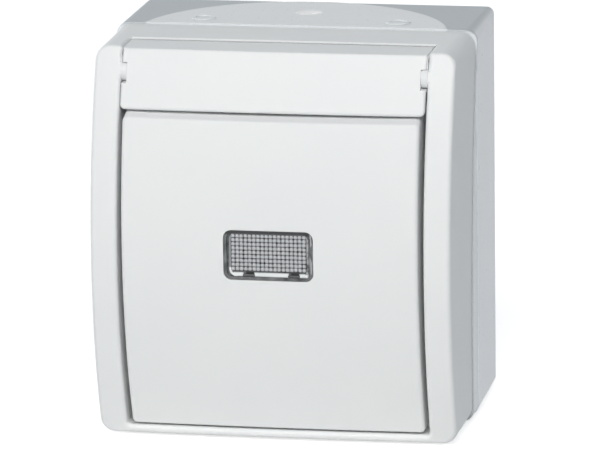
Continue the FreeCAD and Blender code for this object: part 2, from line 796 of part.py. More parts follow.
def rocker_seal():
    """Rubber lip clipped over the collar round the carrier opening."""
    collar_x = opening_half_width + collar_wall
    collar_z = opening_half_height + collar_wall
    out_x = collar_x + seal_wall
    out_z = collar_z + seal_wall
    front_y = deck_front_y - collar_height
    outer = (out_x, -out_z, out_z, opening_corner + seal_wall)
    skirt = ring(outer, (collar_x, -collar_z, collar_z, opening_corner), front_y, deck_front_y)
    in_x = opening_half_width - seal_lip
    in_z = opening_half_height - seal_lip
    lip = ring(outer, (in_x, -in_z, in_z, opening_corner), front_y - seal_lip_wall, front_y)
    return skirt.fuse(lip).removeSplitter()


def terminal_places():
    return [(x, z) for x in (-terminal_x, terminal_x) for z in (-terminal_z, terminal_z)]


def side_bore(radius, x, z):
    """Bore from the middle of a terminal out through the side next to it."""
    ends = sorted([x, x + math.copysign(insert_half, x)])
    return rod_x(radius, ends[0], ends[1], terminal_screw_y, z)


def insert_housing():
    half = insert_half
    body = straight_block(half, -half, half, insert_corner, insert_front_y, insert_rear_y)
    lip = half + insert_flange
    lip_rear = plate_y - plate_wall
    body = body.fuse(straight_block(lip, -lip, lip, insert_corner, lip_rear - insert_flange_wall, lip_rear))
    room = half - insert_wall
    body = body.cut(straight_block(room, -room, room, insert_room_corner, -far, insert_floor_y))
    for x, z in terminal_places():
        body = body.cut(rod_y(wire_hole_radius, insert_floor_y - over, 0, x, z))
        body = body.cut(side_bore(terminal_screw_radius + over, x, z))
    return body.removeSplitter()


def insert_frame():
    """Front of the insert with the two ears that carry the rocker."""
    half = insert_half
    front_y = insert_front_y - insert_frame_wall
    plate = straight_block(half, -half, half, insert_corner, front_y, insert_front_y)
    ear = rod_x(ear_radius, ear_inner_x, ear_inner_x + ear_wall, pivot_y, pivot_z)
    leg = block(ear_inner_x, ear_inner_x + ear_wall, pivot_y, front_y + ear_root, -ear_radius, ear_radius)
    body = plate.multiFuse(both_sides(ear.fuse(leg)))
    body = body.cut(rod_x(trunnion_radius + trunnion_clearance, -far, far, pivot_y, pivot_z))
    opening = plunger_radius + 2 * plunger_clearance
    body = body.cut(block(-opening, opening, -far, 0, -opening - over, opening + over))
    return body.cut(rod_y(holder_radius, -far, 0, 0, lamp_z)).removeSplitter()


def lamp_holder():
    front_y = insert_front_y - insert_frame_wall
    body = rod_y(holder_radius, front_y, front_y + holder_depth, 0, lamp_z)
    flange = rod_y(holder_flange_radius, front_y - holder_flange_wall, front_y, 0, lamp_z)
    return body.fuse(flange).removeSplitter()


def indicator_lamp():
    rear_y = insert_front_y - insert_frame_wall - holder_flange_wall
    dome_y = lamp_front_y + lamp_radius
    glass = rod_y(lamp_radius, dome_y, rear_y, 0, lamp_z)
    return glass.fuse(Part.makeSphere(lamp_radius, Vector(0, dome_y, lamp_z))).removeSplitter()


def mounting_plate():
    """Sheet that the insert hangs in, notched round the cover's posts."""
    plate = straight_block(plate_half_width, -plate_half_height, plate_half_height, plate_corner,
                           plate_y - plate_wall, plate_y)
    hole = insert_half + plate_gap
    plate = plate.cut(straight_block(hole, -hole, hole, insert_corner, -far, 0))
    cuts = both_sides(rod_y(insert_screw_radius + plate_gap, -far, 0, insert_screw_x, 0))
    cuts += both_sides(rod_y(cover_post_radius + plate_gap, -far, 0, cover_screw_x, cover_screw_z))
    for cut in cuts:
        plate = plate.cut(cut)
    return plate


def insert_screws():
    return both_sides(slotted_screw(insert_screw_x, 0, plate_y - plate_wall, insert_screw_radius,
                                    insert_screw_depth, insert_screw_head_radius, cover_screw_head))


def contact_bridge():
    """See-saw of spring bronze that the plunger tips over its pin."""
    strip = block(-seesaw_half_width, seesaw_half_width, seesaw_rear_y - seesaw_wall, seesaw_rear_y,
                  -seesaw_half_length, seesaw_half_length)
    reach = seesaw_half_width + bracket_ear_gap + strip_wall
    pin = rod_x(seesaw_pin_radius, -reach, reach, seesaw_y, 0)
    return turn_seesaw(strip.fuse(pin).removeSplitter())


def moving_contacts():
    tips = [rod_y(contact_radius, seesaw_rear_y, seesaw_rear_y + contact_height, 0, z)
            for z in (-contact_z, contact_z)]
    return [turn_seesaw(tip) for tip in tips]


def span_block(x_ends, y0, y1, z_ends):
    """Block between two x and two z values given in any order."""
    return block(min(x_ends), max(x_ends), y0, y1, min(z_ends), max(z_ends))


def fixed_contact(side):
    """Bent strip with a contact button, side 1 above and -1 below."""
    closed = seesaw_rear_y + contact_height
    closed += (contact_z + contact_radius) * math.sin(math.radians(seesaw_tilt))
    front = closed + contact_gap
    z = side * contact_z
    wide = (z - strip_half_width, z + strip_half_width)
    button = rod_y(contact_radius, front, front + contact_height, 0, z)
    head_y = front + contact_height
    head = span_block((-strip_half_width, strip_half_width), head_y, head_y + strip_wall, wide)
    stem = span_block((-strip_half_width, strip_half_width), head_y, insert_floor_y,
                      (z - strip_wall / 2, z + strip_wall / 2))
    reach = side * (terminal_x - terminal_half)
    foot_y = insert_floor_y - strip_wall
    foot = span_block((-side * strip_half_width, reach), foot_y, insert_floor_y, wide)
    link = span_block((reach - side * link_end, reach), foot_y, insert_floor_y,
                      (z, side * (terminal_z + link_end)))
    return button.multiFuse([head, stem, foot, link]).removeSplitter()


def common_bracket():
    inner = seesaw_half_width + bracket_ear_gap
    half = bracket_ear_half
    ear = block(inner, inner + strip_wall, seesaw_y - half / 2, insert_floor_y, -half, half)
    outer = inner + strip_wall
    base = block(-outer, outer, insert_floor_y - strip_wall, insert_floor_y, -half, half)
    body = base.multiFuse(both_sides(ear))
    return body.cut(rod_x(seesaw_pin_radius + seesaw_pin_clearance, -far, far, seesaw_y, 0)).removeSplitter()


def terminal_clamps():
    front_y = insert_floor_y - terminal_height
    clamps = []
    for x, z in terminal_places():
        clamp = block(x - terminal_half, x + terminal_half, front_y, insert_floor_y,
                      z - terminal_half, z + terminal_half)
        clamp = clamp.cut(rod_y(wire_hole_radius, front_y + terminal_roof, 0, x, z))
        clamps.append(clamp.cut(side_bore(terminal_screw_radius + screw_clearance, x, z)))
    return clamps


def terminal_screws():
    """Grub screws that press the wires in the four clamps."""
    screws = []
    outer = insert_half - terminal_screw_end
    half = screw_slot_width / 2
    for x, z in terminal_places():
        side = math.copysign(1, x)
        ends = sorted([side * (terminal_x + wire_hole_radius + screw_clearance), side * outer])
        screw = rod_x(terminal_screw_radius, ends[0], ends[1], terminal_screw_y, z)
        slot = span_block((side * (outer - screw_slot_width), side * far), -far, far, (z - half, z + half))
        screws.append(screw.cut(slot))
    return screws


def earth_terminal():
    front = -base_floor - earth_height
    body = block(earth_x - earth_half, earth_x + earth_half, front, -base_floor,
                 earth_z - earth_half, earth_z + earth_half)
    bore_end = -base_floor - earth_height / 2
    body = body.cut(rod_y(terminal_screw_radius + screw_clearance, front - over, bore_end, earth_x, earth_z))
    return body.cut(rod_z(wire_hole_radius, -far, far, earth_x, -base_floor - earth_height / 2))


def earth_screw():
    under_head = -base_floor - earth_height
    return slotted_screw(earth_x, earth_z, under_head, terminal_screw_radius, earth_height / 4,
                         terminal_screw_radius + over, earth_screw_head)


def write_nodes():
    nodes = {
        "base_box": base_box(),
        "cable_grommet": cable_grommet(),
        "cover_gasket": cover_gasket(),
        "cover": cover(),
        "cover_screws": cover_screws(),
        "label_flap": label_flap(),
        "rocker_plate": rocker_plate(),
        "window_lens": window_lens(),
        "light_box": light_box(),
        "rocker_carrier": rocker_carrier(),
        "toggle_plunger": toggle_plunger(),
        "toggle_spring": toggle_spring(),
        "rocker_seal": rocker_seal(),
        "insert_housing": insert_housing(),
        "insert_frame": insert_frame(),
        "lamp_holder": lamp_holder(),
        "indicator_lamp": indicator_lamp(),
        "mounting_plate": mounting_plate(),
        "insert_screws": insert_screws(),
        "contact_bridge": contact_bridge(),
        "moving_contacts": moving_contacts(),
        "upper_contact": fixed_contact(1),
        "lower_contact": fixed_contact(-1),
        "common_bracket": common_bracket(),
        "terminal_clamps": terminal_clamps(),
        "terminal_screws": terminal_screws(),
        "earth_terminal": earth_terminal(),
        "earth_screw": earth_screw(),
    }
    os.makedirs("parts", exist_ok=True)
    for name, shape in nodes.items():
        if isinstance(shape, list):
            shape = Part.makeCompound(shape)
        shape.exportStep("parts/" + name + ".step")
        box = shape.BoundBox
        print(f"{name:18s} solids {len(shape.Solids)} valid {shape.isValid()} volume {shape.Volume:8.1f}"
              f"  x {box.XMin:6.1f} {box.XMax:6.1f}  y {box.YMin:6.1f} {box.YMax:6.1f}"
              f"  z {box.ZMin:6.1f} {box.ZMax:6.1f}")


write_nodes()
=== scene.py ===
import json
import math
import bpy
from mathutils import Matrix, Vector

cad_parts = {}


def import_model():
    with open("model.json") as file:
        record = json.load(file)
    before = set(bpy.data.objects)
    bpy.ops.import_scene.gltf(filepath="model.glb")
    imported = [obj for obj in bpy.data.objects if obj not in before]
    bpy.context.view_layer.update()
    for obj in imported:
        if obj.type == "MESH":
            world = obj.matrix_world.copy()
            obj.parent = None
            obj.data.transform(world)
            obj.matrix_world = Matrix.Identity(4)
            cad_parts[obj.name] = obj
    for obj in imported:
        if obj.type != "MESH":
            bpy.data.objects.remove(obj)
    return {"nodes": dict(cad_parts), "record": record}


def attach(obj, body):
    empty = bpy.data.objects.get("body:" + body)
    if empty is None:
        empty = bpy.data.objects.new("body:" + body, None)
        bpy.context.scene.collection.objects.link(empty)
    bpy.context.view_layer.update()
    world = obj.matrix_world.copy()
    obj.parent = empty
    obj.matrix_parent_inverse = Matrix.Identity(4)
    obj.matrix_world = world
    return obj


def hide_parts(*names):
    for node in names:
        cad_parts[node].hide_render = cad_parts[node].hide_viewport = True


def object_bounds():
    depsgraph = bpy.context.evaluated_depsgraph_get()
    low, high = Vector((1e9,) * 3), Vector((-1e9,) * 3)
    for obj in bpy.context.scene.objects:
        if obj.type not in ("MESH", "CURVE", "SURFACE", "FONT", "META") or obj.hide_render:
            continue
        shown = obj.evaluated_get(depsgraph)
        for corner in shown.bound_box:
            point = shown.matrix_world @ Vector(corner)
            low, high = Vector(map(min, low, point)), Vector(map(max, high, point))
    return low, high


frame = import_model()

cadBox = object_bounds()
mm = 0.001
print("frame loaded")


# helpers for materials, each finish and piece further down has its own values

def linear(r, g, b):    # colour given as 0 to 255 screen values, on the screen's standard curve
    out = []
    for v in (r, g, b):
        v = v / 255
        out.append(v / 12.92 if v <= 0.04045 else ((v + 0.055) / 1.055) ** 2.4)
    return (*out, 1.0)


def startMaterial(name):
    mat = bpy.data.materials.new(name)
    mat.use_nodes = True
    tree = mat.node_tree
    shader = tree.nodes["Principled BSDF"]
    place = tree.nodes.new("ShaderNodeTexCoord")
    return mat, tree, shader, place.outputs["Object"]


def reopen(mat):        # the nodes of a material that startMaterial made
    tree = mat.node_tree
    return tree, tree.nodes["Principled BSDF"], tree.nodes["Texture Coordinate"].outputs["Object"]


def feeding(shader, socket):
    return shader.inputs[socket].links[0].from_socket


def noiseOn(tree, place, scale, detail, roughness=0.5):
    noise = tree.nodes.new("ShaderNodeTexNoise")
    noise.inputs["Scale"].default_value = scale
    noise.inputs["Detail"].default_value = detail
    noise.inputs["Roughness"].default_value = roughness
    tree.links.new(place, noise.inputs["Vector"])
    return noise.outputs["Fac"]


def spread(tree, value, low, high, fromLow=0.3, fromHigh=0.7):     # noise mostly lies from 0.3 to 0.7
    remap = tree.nodes.new("ShaderNodeMapRange")
    remap.inputs["From Min"].default_value = fromLow
    remap.inputs["From Max"].default_value = fromHigh
    remap.inputs["To Min"].default_value = low
    remap.inputs["To Max"].default_value = high
    tree.links.new(value, remap.inputs["Value"])
    return remap.outputs["Result"]


def past(tree, value, start, end):      # 0 up to start, 1 from end on
    return spread(tree, value, 0.0, 1.0, start, end)


def before(tree, value, start, end):    # 1 up to start, 0 from end on
    return spread(tree, value, 1.0, 0.0, start, end)


def blendColours(tree, amount, first, second):
    mix = tree.nodes.new("ShaderNodeMix")
    mix.data_type = "RGBA"
    for socket, colour in ((mix.inputs["A"], first), (mix.inputs["B"], second)):
        if isinstance(colour, tuple):
            socket.default_value = colour
        else:
            tree.links.new(colour, socket)
    tree.links.new(amount, mix.inputs["Factor"])
    return mix.outputs["Result"]


def sums(tree, kind, *values):
    node = tree.nodes.new("ShaderNodeMath")
    node.operation = kind
    for socket, value in zip(node.inputs, values):
        if isinstance(value, float):
            socket.default_value = value
        else:
            tree.links.new(value, socket)
    return node.outputs["Value"]


def axes(tree, place):
    split = tree.nodes.new("ShaderNodeSeparateXYZ")
    tree.links.new(place, split.inputs["Vector"])
    return split.outputs["X"], split.outputs["Y"], split.outputs["Z"]


def stretched(tree, place, scale, shift=(0.0, 0.0, 0.0)):
    move = tree.nodes.new("ShaderNodeMapping")
    move.inputs["Location"].default_value = shift
    move.inputs["Scale"].default_value = scale
    tree.links.new(place, move.inputs["Vector"])
    return move.outputs["Vector"]


def reachFrom(tree, place, centre, keep):       # distance from a point, along the kept axes only
    shift = [-c * k for c, k in zip(centre, keep)]
    reach = tree.nodes.new("ShaderNodeVectorMath")
    reach.operation = "LENGTH"
    tree.links.new(stretched(tree, place, keep, shift), reach.inputs[0])
    return reach.outputs["Value"]


def bumpOn(tree, shader, height, strength, depth):
    bump = tree.nodes.new("ShaderNodeBump")
    bump.inputs["Strength"].default_value = strength
    bump.inputs["Distance"].default_value = depth
    tree.links.new(height, bump.inputs["Height"])
    tree.links.new(bump.outputs["Normal"], shader.inputs["Normal"])


def paint(tree, shader, colour):
    tree.links.new(colour, shader.inputs["Base Color"])


def roughen(tree, shader, noise, low, high):
    tree.links.new(spread(tree, noise, low, high), shader.inputs["Roughness"])


# moulded plastics and rubber

plasticLook = {
    "grainSize": 1400.0,       # cells per metre of the spark-eroded mould face
    "grainDepth": 0.00002,
    "grain": 0.12,             # how strongly it shows
    "rubberGrain": 0.3,
    "cloudSize": 28.0,         # slow drift of tone over a moulding
    "specular": 0.45,
}

plastics = {                   # colour, its other shade, lowest and highest roughness
    "coverPlastic": (linear(243, 244, 244), linear(240, 241, 242), 0.42, 0.5),
    # the base's colour is darkened and tinted blue, painted light for the bluish light on its sides
    "basePlastic": (linear(234, 237, 242), linear(236, 239, 242), 0.27, 0.35),
    "greyRubber": (linear(70, 73, 77), linear(62, 65, 70), 0.62, 0.78),
    "insertGrey": (linear(120, 124, 130), linear(112, 116, 122), 0.4, 0.5),
    "insertWhite": (linear(228, 228, 224), linear(220, 221, 218), 0.4, 0.5),
    "shaftGrey": (linear(78, 80, 84), linear(66, 68, 72), 0.4, 0.5),
}


def mouldedPlastic(name, grain=plasticLook["grain"]):
    colour, shade, roughLow, roughHigh = plastics[name]
    mat, tree, shader, place = startMaterial(name)
    cloud = noiseOn(tree, place, plasticLook["cloudSize"], 2.0)
    paint(tree, shader, blendColours(tree, spread(tree, cloud, 0.0, 1.0), colour, shade))
    fine = noiseOn(tree, place, plasticLook["grainSize"], 3.0, 0.6)
    roughen(tree, shader, fine, roughLow, roughHigh)
    shader.inputs["Specular IOR Level"].default_value = plasticLook["specular"]
    bumpOn(tree, shader, fine, grain, plasticLook["grainDepth"])
    return mat


seamShadowLook = {                             # painted shadow line along the joint between base and cover, metres
    "centre": (0.0, 0.2273, -0.022),     # middle of the parting line's arc
    "radius": 0.260,
    "core": 0.00042,                     # full shade to here on both sides of the line
    "reach": 0.0007,                     # and none from here on
    "sideStart": 0.030,                  # only on the two sides, where the joint opens
    "sideEnd": 0.033,
    # colour of the painted shadow in the joint
    "shade": linear(206, 209, 212),
}


# darkens the colour along the joint into a painted shadow line, on the two sides only
def paintSeamShadow(mat):
    tree, shader, place = reopen(mat)
    out = reachFrom(tree, place, seamShadowLook["centre"], (0.0, 1.0, 1.0))
    away = sums(tree, "ABSOLUTE", sums(tree, "SUBTRACT", out, seamShadowLook["radius"]))
    near = before(tree, away, seamShadowLook["core"], seamShadowLook["reach"])
    side = sums(tree, "ABSOLUTE", axes(tree, place)[0])
    onSide = past(tree, side, seamShadowLook["sideStart"], seamShadowLook["sideEnd"])
    inJointShadow = sums(tree, "MULTIPLY", near, onSide)
    paint(tree, shader, blendColours(tree, inJointShadow, feeding(shader, "Base Color"), seamShadowLook["shade"]))
    return mat


baseLook = {                   # metres
    "padCentre": (0.0, -0.033, 0.0),     # axis of the round entry pads
    "padEdge": 0.0320,         # their radius
    "padFade": 0.0002,
    "endFace": 0.0403,         # height of the top and bottom faces
    "endFade": 0.0008,
    "padColour": linear(233, 236, 238),
    # painted shade on the end faces outside the pads
    "shadeAroundPad": linear(207, 212, 215),
    "aroundRough": 0.36,       # matter outside the pads, by this much
    "drillMark": (0.0, -0.0123, 0.0),
    "drillCore": 0.0021,
    "drillRadius": 0.0030,
    # lighter colour of the dimple, a painted highlight
    "drillHighlight": linear(252, 252, 253),
    "drillCoatRough": 0.06,
}


def basePlastic():
    mat = mouldedPlastic("basePlastic")
    tree, shader, place = reopen(mat)
    edge, fade, top = baseLook["padEdge"], baseLook["padFade"], baseLook["endFace"]
    reach = reachFrom(tree, place, baseLook["padCentre"], (1.0, 1.0, 0.0))
    outside = past(tree, reach, edge - fade, edge + fade)
    height = sums(tree, "ABSOLUTE", axes(tree, place)[2])
    onEnd = past(tree, height, top - baseLook["endFade"], top)
    offPad = sums(tree, "MULTIPLY", outside, onEnd)
    # the top and bottom faces are less blue than the sides, which carry the painted blue light
    ends = blendColours(tree, onEnd, feeding(shader, "Base Color"), baseLook["padColour"])
    # painted shade outside the pads, where the roughness is also raised
    body = blendColours(tree, offPad, ends, baseLook["shadeAroundPad"])
    matter = sums(tree, "MULTIPLY", offPad, baseLook["aroundRough"])
    tree.links.new(sums(tree, "ADD", feeding(shader, "Roughness"), matter), shader.inputs["Roughness"])
    mark = reachFrom(tree, place, baseLook["drillMark"], (1.0, 1.0, 0.0))
    inside = before(tree, mark, baseLook["drillCore"], baseLook["drillRadius"])
    glossAndHighlight = sums(tree, "MULTIPLY", inside, onEnd)        # the mark is glossy from a polished pin in the mould, and painted lighter as a highlight
    paint(tree, shader, blendColours(tree, glossAndHighlight, body, baseLook["drillHighlight"]))
    tree.links.new(glossAndHighlight, shader.inputs["Coat Weight"])
    shader.inputs["Coat Roughness"].default_value = baseLook["drillCoatRough"]
    return mat


# metals

metalLook = {
    "brushSize": 900.0,
    "brushRun": (1.0, 0.08, 1.0),        # the brushing runs along y
    "brushBump": 0.2,
    "brushDepth": 0.00001,
}

metals = {                     # colour, its other shade, lowest and highest roughness
    "platedSteel": (linear(196, 198, 200), linear(170, 172, 176), 0.22, 0.36),
    "springSteel": (linear(150, 152, 156), linear(120, 122, 126), 0.2, 0.3),
    "terminalBrass": (linear(214, 180, 110), linear(190, 156, 92), 0.24, 0.36),
    "contactBronze": (linear(196, 140, 96), linear(170, 118, 78), 0.24, 0.36),
    "contactSilver": (linear(222, 222, 220), linear(200, 200, 198), 0.2, 0.3),
}


def turnedMetal(name):
    colour, shade, roughLow, roughHigh = metals[name]
    mat, tree, shader, place = startMaterial(name)
    brush = noiseOn(tree, stretched(tree, place, metalLook["brushRun"]), metalLook["brushSize"], 2.0)
    paint(tree, shader, blendColours(tree, brush, colour, shade))
    roughen(tree, shader, brush, roughLow, roughHigh)
    shader.inputs["Metallic"].default_value = 1.0
    bumpOn(tree, shader, brush, metalLook["brushBump"], metalLook["brushDepth"])
    return mat


# clear pieces

clearLook = {
    "cloudSize": 300.0,
    "through": 0.9,            # how much light passes
    "ior": 1.49,               # of the lens and its trim
}

clears = {                     # colour, lowest and highest roughness
    "clearLens": (linear(225, 228, 232), 0.04, 0.064),
    "lampGlass": (linear(250, 236, 214), 0.05, 0.08),
}


def clearPlastic(name):
    colour, roughLow, roughHigh = clears[name]
    mat, tree, shader, place = startMaterial(name)
    cloud = noiseOn(tree, place, clearLook["cloudSize"], 2.0)
    roughen(tree, shader, cloud, roughLow, roughHigh)
    shader.inputs["Base Color"].default_value = colour
    shader.inputs["Transmission Weight"].default_value = clearLook["through"]
    shader.inputs["IOR"].default_value = clearLook["ior"]
    return mat


def finishNodes():
    finishes = {
        "cover_white": paintSeamShadow(mouldedPlastic("coverPlastic")),
        "base_white": paintSeamShadow(basePlastic()),
        "grey_rubber": mouldedPlastic("greyRubber", plasticLook["rubberGrain"]),
        "insert_grey": mouldedPlastic("insertGrey"),
        "insert_white": mouldedPlastic("insertWhite"),
        "dark_grey": mouldedPlastic("shaftGrey"),
        "clear_lens": clearPlastic("clearLens"),
        "lamp_glass": clearPlastic("lampGlass"),
        "plated_steel": turnedMetal("platedSteel"),
        "spring_steel": turnedMetal("springSteel"),
        "brass": turnedMetal("terminalBrass"),
        "bronze": turnedMetal("contactBronze"),
        "silver": turnedMetal("contactSilver"),
    }
    slotOf = {part["node"]: part["material_slot"] for part in frame["record"]["subparts"]}
    for name, node in frame["nodes"].items():
        finish = finishes[slotOf[name]]
        if not node.data.materials:
            node.data.materials.append(finish)
        for i in range(len(node.data.materials)):
            node.data.materials[i] = finish
    print("finishes on", len(frame["nodes"]), "nodes")


def finishOf(node):
    return frame["nodes"][node].data.materials[0]


# helpers for shapes

tiny = 1e-6                    # metres, what lies closer is taken as the same place
smoothAngle = 32               # degrees, sharper edges stay sharp


def leaveEdit():
    if bpy.context.object and bpy.context.object.mode != "OBJECT":
        bpy.ops.object.mode_set(mode="OBJECT")


def freshStart():
    leaveEdit()
    bpy.ops.object.select_all(action="DESELECT")


def flatBox(name, x0, x1, y0, y1, z0, z1):
    freshStart()
    bpy.ops.mesh.primitive_cube_add(size=1.0, location=((x0 + x1) / 2, (y0 + y1) / 2, (z0 + z1) / 2))
    piece = bpy.context.object
    piece.name = name
    piece.scale = (x1 - x0, y1 - y0, z1 - z0)
    bpy.ops.object.transform_apply(location=True, rotation=True, scale=True)
    return piece


def pickFaces(piece, test):
    bpy.ops.object.mode_set(mode="EDIT")
    bpy.ops.mesh.select_mode(type="FACE")
    bpy.ops.mesh.select_all(action="DESELECT")
    bpy.ops.object.mode_set(mode="OBJECT")
    for face in piece.data.polygons:
        face.select = test(face.center, face.normal)
    bpy.ops.object.mode_set(mode="EDIT")


def pickEdges(piece, test):
    bpy.ops.object.mode_set(mode="EDIT")
    bpy.ops.mesh.select_mode(type="EDGE")
    bpy.ops.mesh.select_all(action="DESELECT")
    bpy.ops.object.mode_set(mode="OBJECT")
    points = piece.data.vertices
    for edge in piece.data.edges:
        edge.select = test(points[edge.vertices[0]].co, points[edge.vertices[1]].co)
    bpy.ops.object.mode_set(mode="EDIT")


def upward(centre, normal):
    return normal.z > 0.9


def upright(a, b):
    return abs(a.x - b.x) < tiny and abs(a.y - b.y) < tiny


def roundOff(width, segments):
    bpy.ops.mesh.bevel(offset=width, segments=segments, affect="EDGES")


def stepFaces(steps, alone=False):      # inset and rise of each step, mm
    for inset, rise in steps:
        bpy.ops.mesh.inset(thickness=inset * mm, depth=rise * mm, use_individual=alone)


def bore(piece, test, wall):            # opens a hole between two facing ends
    pickFaces(piece, test)
    bpy.ops.mesh.inset(thickness=wall, depth=0.0, use_individual=True)
    bpy.ops.mesh.bridge_edge_loops()
    leaveEdit()


def joined(bars, name):
    freshStart()
    for bar in bars:
        bar.select_set(True)
    bpy.context.view_layer.objects.active = bars[0]
    bpy.ops.object.join()
    bpy.context.object.name = name
    return bpy.context.object


def settle(piece, material, body):
    leaveEdit()
    bpy.ops.object.transform_apply(location=True, rotation=True, scale=True)
    bpy.ops.object.shade_smooth_by_angle(angle=math.radians(smoothAngle))
    piece.data.materials.append(material)
    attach(piece, body)


# pilot window, built lying flat and then stood up in the rocker
# x is to the right, y is up the window and z is out of it, from the rocker's face

windowPlace = (0.0, -0.05932, -0.00014)      # middle of the window on the rocker's face, metres
windowTurn = 90.61                           # degrees, from lying to standing


def standInRocker(piece, material):
    piece.rotation_euler = (math.radians(windowTurn), 0.0, 0.0)
    piece.location = windowPlace
    settle(piece, material, "rocker")


windowRim = {
    "halfWidth": 9.1 * mm,
    "halfHeight": 5.05 * mm,
    "corner": 1.6 * mm,
    "cornerSteps": 8,
    "front": -0.3 * mm,                      # behind the rocker's face
    "deep": 1.6 * mm,
    "steps": ((0.12, 0.0), (0.4, -0.1), (0.1, -0.55)),     # down into the tray, mm
    "cloudSize": 420.0,
    "cloudRange": (0.35, 0.65),
    "dark": linear(66, 68, 70),
    "light": linear(122, 124, 126),
    "shadedUpperBar": (0.0038, 0.0044),            # where the painted shade along the upper bar starts, metres
    "upperShadeColour": linear(54, 55, 57),
    "streakSize": (1900.0, 0.0, 330.0),
    "streakRange": (0.5, 0.62),
    "rightBar": (0.0078, 0.0082),            # and the right bar, where glints show
    "glint": linear(172, 174, 176),
    "rough": (0.14, 0.26),
    "specular": 0.5,
}


def smokedPlastic():
    mat, tree, shader, place = startMaterial("smokedRim")
    x, _, z = axes(tree, place)
    cloud = noiseOn(tree, place, windowRim["cloudSize"], 3.0)
    clouded = past(tree, cloud, *windowRim["cloudRange"])
    body = blendColours(tree, clouded, windowRim["dark"], windowRim["light"])
    # painted shade along the top of the frame
    body = blendColours(tree, past(tree, z, *windowRim["shadedUpperBar"]), body, windowRim["upperShadeColour"])
    streak = noiseOn(tree, stretched(tree, place, windowRim["streakSize"]), 1.0, 2.0)
    glints = sums(tree, "MULTIPLY", past(tree, streak, *windowRim["streakRange"]),
                  past(tree, x, *windowRim["rightBar"]))
    paint(tree, shader, blendColours(tree, glints, body, windowRim["glint"]))
    roughen(tree, shader, cloud, *windowRim["rough"])
    shader.inputs["Specular IOR Level"].default_value = windowRim["specular"]
    return mat


def makeWindowFrame():
    w, h, front = windowRim["halfWidth"], windowRim["halfHeight"], windowRim["front"]
    piece = flatBox("windowFrame", -w, w, -h, h, front - windowRim["deep"], front)
    pickEdges(piece, upright)
    roundOff(windowRim["corner"], windowRim["cornerSteps"])
    pickFaces(piece, upward)
    stepFaces(windowRim["steps"])
    standInRocker(piece, smokedPlastic())
    return piece


trayFloor = windowRim["front"] + sum(rise for inset, rise in windowRim["steps"]) * mm

lensField = {                                # back of the clear lens, seen through it
    "left": -7.65 * mm,
    "right": 7.7 * mm,
    "low": -3.3 * mm,
    "high": 4.35 * mm,
    "columns": 18,
    "rows": 9,
    "thick": 0.3 * mm,
    "bump": ((0.2, 0.3), (0.13, 0.07)),      # foot and rise of each pyramid, then its blunt top, mm
    "grainSize": 900.0,
    "uneven": 0.07,                          # of a cell
    "valleyShade": (0.32, 0.66),                  # from a cell's middle, painted shade darkens the valleys between these
    # painted light on the crowns and painted shade in the valleys of the prisms
    "crown": linear(206, 207, 210),
    "dark": linear(52, 53, 56),
    "rough": (0.12, 0.22),
}


def prismPlastic():
    mat, tree, shader, place = startMaterial("prismField")
    pitchX = (lensField["right"] - lensField["left"]) / lensField["columns"]
    pitchZ = (lensField["high"] - lensField["low"]) / lensField["rows"]
    shift = (-lensField["left"] / pitchX, 0.0, -(lensField["low"] + windowPlace[2]) / pitchZ)
    inCell = tree.nodes.new("ShaderNodeVectorMath")
    inCell.operation = "FRACTION"
    tree.links.new(stretched(tree, place, (1 / pitchX, 0.0, 1 / pitchZ), shift), inCell.inputs[0])
    reach = reachFrom(tree, inCell.outputs["Vector"], (0.5, 0.0, 0.5), (1.0, 0.0, 1.0))
    fine = noiseOn(tree, place, lensField["grainSize"], 2.0)
    uneven = sums(tree, "ADD", reach, spread(tree, fine, -lensField["uneven"], lensField["uneven"]))
    # painted light and shade of each prism, by its place in the cell
    valleyShade = past(tree, uneven, *lensField["valleyShade"])
    paint(tree, shader, blendColours(tree, valleyShade, lensField["crown"], lensField["dark"]))
    roughen(tree, shader, fine, *lensField["rough"])
    shader.inputs["IOR"].default_value = clearLook["ior"]
    return mat


def makeLensField():
    x0, x1, y0, y1 = (lensField[k] for k in ("left", "right", "low", "high"))
    middle = ((x0 + x1) / 2, (y0 + y1) / 2, trayFloor + lensField["thick"])
    freshStart()
    bpy.ops.mesh.primitive_grid_add(x_subdivisions=lensField["columns"], y_subdivisions=lensField["rows"],
                                    size=1.0, location=middle)
    piece = bpy.context.object
    piece.name = "lensField"
    piece.scale = (x1 - x0, y1 - y0, 1.0)
    bpy.ops.object.transform_apply(location=True, rotation=True, scale=True)
    thick = piece.modifiers.new("thick", "SOLIDIFY")
    thick.thickness = lensField["thick"]
    thick.offset = -1.0
    bpy.ops.object.modifier_apply(modifier="thick")
    pickFaces(piece, upward)
    stepFaces(lensField["bump"], alone=True)
    standInRocker(piece, prismPlastic())


lensEdge = {                                 # rolled edge that runs round the clear insert
    "box": (-8.1, 8.2, -4.45, 4.5),          # left, right, low and high, mm
    "corner": 1.45 * mm,
    "cornerSteps": 8,
    "wide": 0.45 * mm,
    "rise": 0.46 * mm,
    "round": 0.13 * mm,
    "roundSteps": 3,
    "cloudSize": 700.0,
    "dark": linear(72, 74, 76),
    "light": linear(104, 106, 108),
    "leftRun": (-0.0076, -0.0070),           # painted highlight, paler up to here, metres
    "leftHighlight": linear(150, 152, 155),
    "rightRun": (0.0074, 0.0077),            # and painted highlights in patches from here on
    "patches": (0.4, 0.6),
    "rightHighlight": linear(176, 178, 180),
    "brightPlace": (-0.0080, 0.0, -0.0044),  # the lower left corner catches the light
    "brightReach": (0.0015, 0.0018),
    "brightColour": linear(246, 247, 248),
    "rough": (0.08, 0.16),
}


